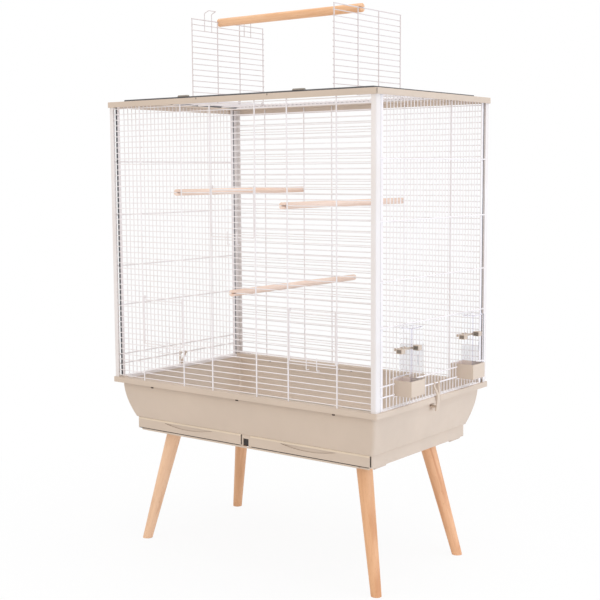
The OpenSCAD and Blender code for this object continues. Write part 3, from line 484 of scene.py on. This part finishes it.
for (node, side_x, side_y, light, deep, fleck), grain in zip(LEGS_WITH_PAINTED_LIGHT, LEG_GRAIN):
    upward = Vector((-side_x * SPLAY_X, -side_y * SPLAY_Y, LEG_H))
    upright = upward.rotation_difference(Vector((0, 0, 1))).to_matrix()
    turn = (Matrix.Rotation(grain, 3, "Z") @ upright).to_euler()
    dressed(node, material=beech(node + "_beech", linear(*light), linear(*deep), linear(*fleck), turn))
for node, grain in zip(("perch_left", "perch_right", "perch_low"), PERCH_GRAIN):
    wooden(node, (0, 1, 0), grain, 0.7 * MM, PALE_BEECH)
wooden("top_perch", (1, 0, 0), TOP_PERCH_GRAIN, 0.9 * MM)


# ---- small fittings, in millimetres ----
mid = MID_X / MM
rim = RIM_TOP / MM
# A block's faces, by the numbers of its corners
CUBE_FACES = ((0, 1, 3, 2), (4, 6, 7, 5), (0, 4, 5, 1), (2, 3, 7, 6), (0, 2, 6, 4), (1, 5, 7, 3))


def block(bm, low, high, thin, taper):
    """A moulded block with one end drawn in to a share, taper, of its size.

    thin names that end by its axis and sign, such as ("y", -1).
    """
    axis = "xyz".index(thin[0])
    low, high = Vector(low) * MM, Vector(high) * MM
    centre = (low + high) / 2
    corners = []
    for x in (low.x, high.x):
        for y in (low.y, high.y):
            for z in (low.z, high.z):
                corner = Vector((x, y, z))
                if (corner[axis] - centre[axis]) * thin[1] > 0:
                    for other in range(3):
                        if other != axis:
                            corner[other] = centre[other] + (corner[other] - centre[other]) * taper
                corners.append(bm.verts.new(corner))
    for face in CUBE_FACES:
        bm.faces.new([corners[i] for i in face])


def front_block(x, y, z, taper):
    """A block between two X, two Y and two Z, drawn in at its front."""
    return (x[0], y[0], z[0]), (x[1], y[1], z[1]), ("y", -1), taper


def fittings(name, body, slot, blocks, bevel=0.25 * MM, material=None):
    """Several moulded blocks in one piece."""
    bm = bmesh.new()
    for low, high, thin, taper in blocks:
        block(bm, low, high, thin, taper)
    return finish_piece(from_bmesh(name, bm, bevel=bevel), body, slot, material)


tray_mesh = nodes["tray"].data
tray_tree = BVHTree.FromPolygons([vertex.co for vertex in tray_mesh.vertices],
                                 [face.vertices[:] for face in tray_mesh.polygons])


def tub_wall(x, y, z):
    """The Y at which a line from a point towards the back first meets the tub."""
    return tray_tree.ray_cast(Vector((x, y, z)) * MM, Vector((0, 1, 0)))[0].y / MM


def studs(middles, half_w, out, sunk, z, ray, taper):
    """Blocks on the tub's wall, each with its middle at an X from the cage's middle.

    z is the low and high Z from the rim's top, and ray the Y and the Z from which the wall is looked for.
    """
    blocks = []
    for x in middles:
        wall = tub_wall(mid + x, ray[0], rim + ray[1])
        blocks.append(front_block((mid + x - half_w, mid + x + half_w), (wall - out, wall + sunk),
                                  (rim + z[0], rim + z[1]), taper))
    return blocks


# Near-black brown for small snaps, hooks, slots and the fascia's seam: painted shade of the gaps they sit in
slot_shade = moulded("slot_shade_moulding", linear(86, 74, 64), 0.1)

# Snaps on the tub's front, under the rim; their dark colour is painted shade of the gaps there
fittings("rim_snaps", body_of_node["tray"], "dark_plastic",
         studs((-270, -3, 267), half_w=3.8, out=2.2, sunk=0.8, z=(-19.2, -16.0), ray=(-300, -17.6),
               taper=0.75), material=slot_shade)

# Hooks of the back panel on the tub's inner wall; their dark colour is painted shade of the slots they sit in
fittings("panel_hooks", body_of_node["tray"], "dark_plastic",
         studs((-261, -31, 5), half_w=2.2, out=1.6, sunk=0.6, z=(-12.6, -8.8), ray=(0, -10.8),
               taper=0.7), material=slot_shade)

# Slots in the roof's front fascia, and the seam at its right corner, as dark blocks: painted shade in the
# slots and the seam
SLOT_HALF_W = 1.1
SEAM_W = 0.75
roof_front = roof_lo.y / MM
roof_right = roof_hi.x / MM
roof_under = roof_lo.z / MM
roof_top = roof_hi.z / MM
slots = [front_block((mid + x - SLOT_HALF_W, mid + x + SLOT_HALF_W), (roof_front - 0.15, roof_front + 1),
                     (roof_top - 4.6, roof_top - 0.4), 0.85) for x in (-100, 105)]
slots.append(front_block((roof_right - SEAM_W, roof_right + 0.02), (roof_front - 0.02, roof_front + SEAM_W),
                         (roof_under + 0.8, roof_top - 0.6), 0.95))
fittings("fascia_slots", body_of_node["roof_frame"], "dark_plastic", slots, bevel=0.1 * MM, material=slot_shade)

# Feet of the back posts, on the rim beside them
FOOT_LENGTH = 34.8
FOOT_DEPTH = 7.6
FOOT_H = 5.55
FOOT_GAP = 0.2
foot_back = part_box("back_panel")[0].y / MM - 0.4
foot_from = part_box("post_back_left")[1].x / MM + FOOT_GAP
foot_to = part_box("post_back_right")[0].x / MM - FOOT_GAP
foot_z = rim + 0.05
feet = [((x, foot_back - FOOT_DEPTH, foot_z), (x + FOOT_LENGTH, foot_back, foot_z + FOOT_H), ("z", 1), 0.96)
        for x in (foot_from, foot_to - FOOT_LENGTH)]
fittings("post_feet", body_of_node["post_back_left"], "white_plastic", feet, bevel=0.6 * MM)

# Dark strips under and over the drawers' fronts, in the pillar's inset and in the gap right of each drawer:
# painted shade in these gaps
STRIP_TAPER = 0.98
base_front = -base_hi.y / MM
drawer_boxes = [tuple(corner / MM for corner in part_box(node)) for node in DRAWERS]
drawer_under = drawer_boxes[0][0].z
strips = []
for low, high in drawer_boxes:
    along = (low.x + 1, high.x - 1)
    sunk = base_front + 0.2
    strips.append(front_block(along, (base_front - 1.3, sunk), (low.z - 1.9, low.z - 0.25), STRIP_TAPER))
    strips.append(front_block(along, (base_front - 0.7, sunk), (high.z + 0.15, high.z + 0.95), STRIP_TAPER))
strips.append(front_block((mid - 7.8, mid + 7.8), (base_front + 2.2, base_front + 4.2),
                          (drawer_under - 2.0, drawer_under + 15.4), STRIP_TAPER))
for low, high in drawer_boxes:
    strips.append(front_block((high.x + 0.8, high.x + 2.6), (base_front - 0.15, base_front + 0.6),
                              (low.z + 0.5, low.z + 24), STRIP_TAPER))
fittings("drawer_gap_shades", body_of_node["base_frame"], "dark_plastic", strips, bevel=0.15 * MM,
         material=moulded("gap_shade_moulding", linear(52, 46, 42), 0.1))

# Dark inserts in the hollow blocks of the feeder clips: painted shade of the hollows
BLOCK_LENGTH = 14.0
BLOCK_WIDTH = 14.5
BLOCK_HOLLOW = 1.3
# An insert's front and back behind the front of its block
HOLLOW_SHADE_Y = (0.7, 4)
hollow_shades = []
for clip in ("feeder_clip_front", "feeder_clip_back"):
    low, high = (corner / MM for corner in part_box(clip))
    shade_x = (high.x - BLOCK_LENGTH + BLOCK_HOLLOW, high.x - BLOCK_HOLLOW)
    shade_z = (low.z + BLOCK_HOLLOW, high.z - BLOCK_HOLLOW)
    for y in (low.y, high.y - BLOCK_WIDTH):
        hollow_shades.append(front_block(shade_x, (y + HOLLOW_SHADE_Y[0], y + HOLLOW_SHADE_Y[1]), shade_z, 0.96))
fittings("clip_hollow_shades", body_of_node["feeder_clip_front"], "beige_plastic", hollow_shades, bevel=0.3 * MM,
         material=moulded("hollow_shade_moulding", linear(142, 131, 118)))


# ---- moulded marks on the clear tanks, in millimetres ----
MARK_R = 0.42
mark_grey = moulded("mark_moulding", linear(150, 148, 160), 0.06)


def tank_mark(node, line, hook, top, end):
    """A thin moulded line with a hooked end on the tank's outer face.

    line and hook are Y from the tank's middle; top and end are Z below the tank's top.
    """
    low, high = (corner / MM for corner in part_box(node))
    x = high.x + 0.1
    middle = (low.y + high.y) / 2
    y_line, y_hook = middle + line, middle + hook
    z_top, z_end = high.z - top, high.z - end
    points = ((x, y_line, z_top), (x, y_line, (z_top + z_end) / 2 + 3), (x, y_line + 0.1, z_end + 4),
              (x, (y_line + y_hook) / 2, z_end + 0.8), (x, y_hook, z_end))
    curve = bpy.data.curves.new(node + "_mark", "CURVE")
    curve.dimensions = "3D"
    curve.bevel_depth = MARK_R * MM
    curve.bevel_resolution = 3
    curve.use_fill_caps = True
    spline = curve.splines.new("NURBS")
    spline.points.add(len(points) - 1)
    for point, at in zip(spline.points, points):
        point.co = (*(c * MM for c in at), 1.0)
    spline.use_endpoint_u = True
    spline.order_u = 3
    obj = bpy.data.objects.new(node + "_mark", curve)
    bpy.context.scene.collection.objects.link(obj)
    finish_piece(obj, body_of_node[node], "clear_plastic", mark_grey)


tank_mark("feeder_tank_front", line=1.2, hook=3.4, top=57.5, end=80.1)
tank_mark("feeder_tank_back", line=1.6, hook=3.6, top=62.5, end=83.5)


# ---- floor, background and lights ----
FLOOR_R = 3.4
FLOOR_DROP = 0.4 * MM
# How white the camera sees the floor, and the distances from the middle where that starts and is complete
FLOOR_WHITE = 0.9
FADE_FROM = 0.3
FADE_TO = 1.3
WHITE = (1.0, 1.0, 1.0, 1.0)


def build_floor():
    """A pale floor that turns white with distance, and keeps the shadow of the stand."""
    bm = bmesh.new()
    place = Matrix.Translation((MID_X, 0, -FLOOR_DROP))
    bmesh.ops.create_circle(bm, cap_ends=True, radius=FLOOR_R, segments=96, matrix=place)
    mesh = bpy.data.meshes.new("studio_floor")
    bm.to_mesh(mesh)
    bm.free()
    floor = bpy.data.objects.new("studio_floor", mesh)
    bpy.context.scene.collection.objects.link(floor)
    m = Nodes("pale_floor")
    m.shader.inputs["Base Color"].default_value = (0.93, 0.93, 0.93, 1.0)
    m.shader.inputs["Roughness"].default_value = 0.9
    m.shader.inputs["Specular IOR Level"].default_value = 0.1
    where = m.add("ShaderNodeTexCoord").outputs["Object"]
    length = m.add("ShaderNodeVectorMath", operation="LENGTH")
    m.link(where, length.inputs[0])
    fade = m.range(length.outputs["Value"], FLOOR_WHITE, 1.0, FADE_FROM, FADE_TO)
    seen = m.add("ShaderNodeMath", operation="MULTIPLY")
    m.link(fade, seen.inputs[0])
    m.link(m.add("ShaderNodeLightPath").outputs["Is Camera Ray"], seen.inputs[1])
    white = m.add("ShaderNodeEmission")
    white.inputs["Color"].default_value = WHITE
    white.inputs["Strength"].default_value = 1.0
    mixed = m.add("ShaderNodeMixShader")
    m.link(seen.outputs[0], mixed.inputs["Fac"])
    m.link(m.shader.outputs[0], mixed.inputs[1])
    m.link(white.outputs[0], mixed.inputs[2])
    m.link(mixed.outputs[0], m.out.inputs["Surface"])
    mesh.materials.append(m.material)


def build_world(strength, colour):
    """An even studio light, seen as white by the camera, by reflections and through clear pieces."""
    world = bpy.data.worlds.new("studio")
    bpy.context.scene.world = world
    world.use_nodes = True
    tree = world.node_tree
    tree.nodes.clear()
    out = tree.nodes.new("ShaderNodeOutputWorld")
    soft = tree.nodes.new("ShaderNodeBackground")
    soft.inputs["Color"].default_value = (*colour, 1.0)
    soft.inputs["Strength"].default_value = strength
    white = tree.nodes.new("ShaderNodeBackground")
    white.inputs["Color"].default_value = WHITE
    white.inputs["Strength"].default_value = 1.0
    rays = tree.nodes.new("ShaderNodeLightPath")
    seen = rays.outputs["Is Camera Ray"]
    for kind in ("Is Glossy Ray", "Is Transmission Ray"):
        either = tree.nodes.new("ShaderNodeMath")
        either.operation = "MAXIMUM"
        tree.links.new(seen, either.inputs[0])
        tree.links.new(rays.outputs[kind], either.inputs[1])
        seen = either.outputs[0]
    mixed = tree.nodes.new("ShaderNodeMixShader")
    tree.links.new(seen, mixed.inputs["Fac"])
    tree.links.new(soft.outputs[0], mixed.inputs[1])
    tree.links.new(white.outputs[0], mixed.inputs[2])
    tree.links.new(mixed.outputs[0], out.inputs["Surface"])


def area_light(name, at, target, size, watts, colour):
    """A rectangular lamp that faces its target."""
    data = bpy.data.lights.new(name, "AREA")
    data.shape = "RECTANGLE"
    data.size, data.size_y = size
    data.energy = watts
    data.color = colour
    light = bpy.data.objects.new(name, data)
    bpy.context.scene.collection.objects.link(light)
    light.location = at
    light.rotation_euler = (Vector(target) - Vector(at)).to_track_quat("-Z", "Y").to_euler()


CAGE_MIDDLE = (0.0, 0.0, 0.7)
TUB_RIGHT = (0.38, 0.0, 0.38)

build_floor()
build_world(strength=0.80, colour=(0.99, 0.98, 1.0))
area_light("key_right", at=(2.6, 0.2, 0.55), target=TUB_RIGHT, size=(1.6, 0.9), watts=18.0,
           colour=(0.66, 0.80, 1.0))
area_light("fill_left", at=(-1.2, -3.0, 1.9), target=CAGE_MIDDLE, size=(2.0, 1.8), watts=15.0,
           colour=(1.0, 0.94, 0.84))
area_light("top_soft", at=(0.9, 0.1, 3.5), target=CAGE_MIDDLE, size=(2.4, 2.4), watts=30.0,
           colour=(1.0, 0.98, 0.92))

bpy.context.scene.view_settings.view_transform = "Standard"
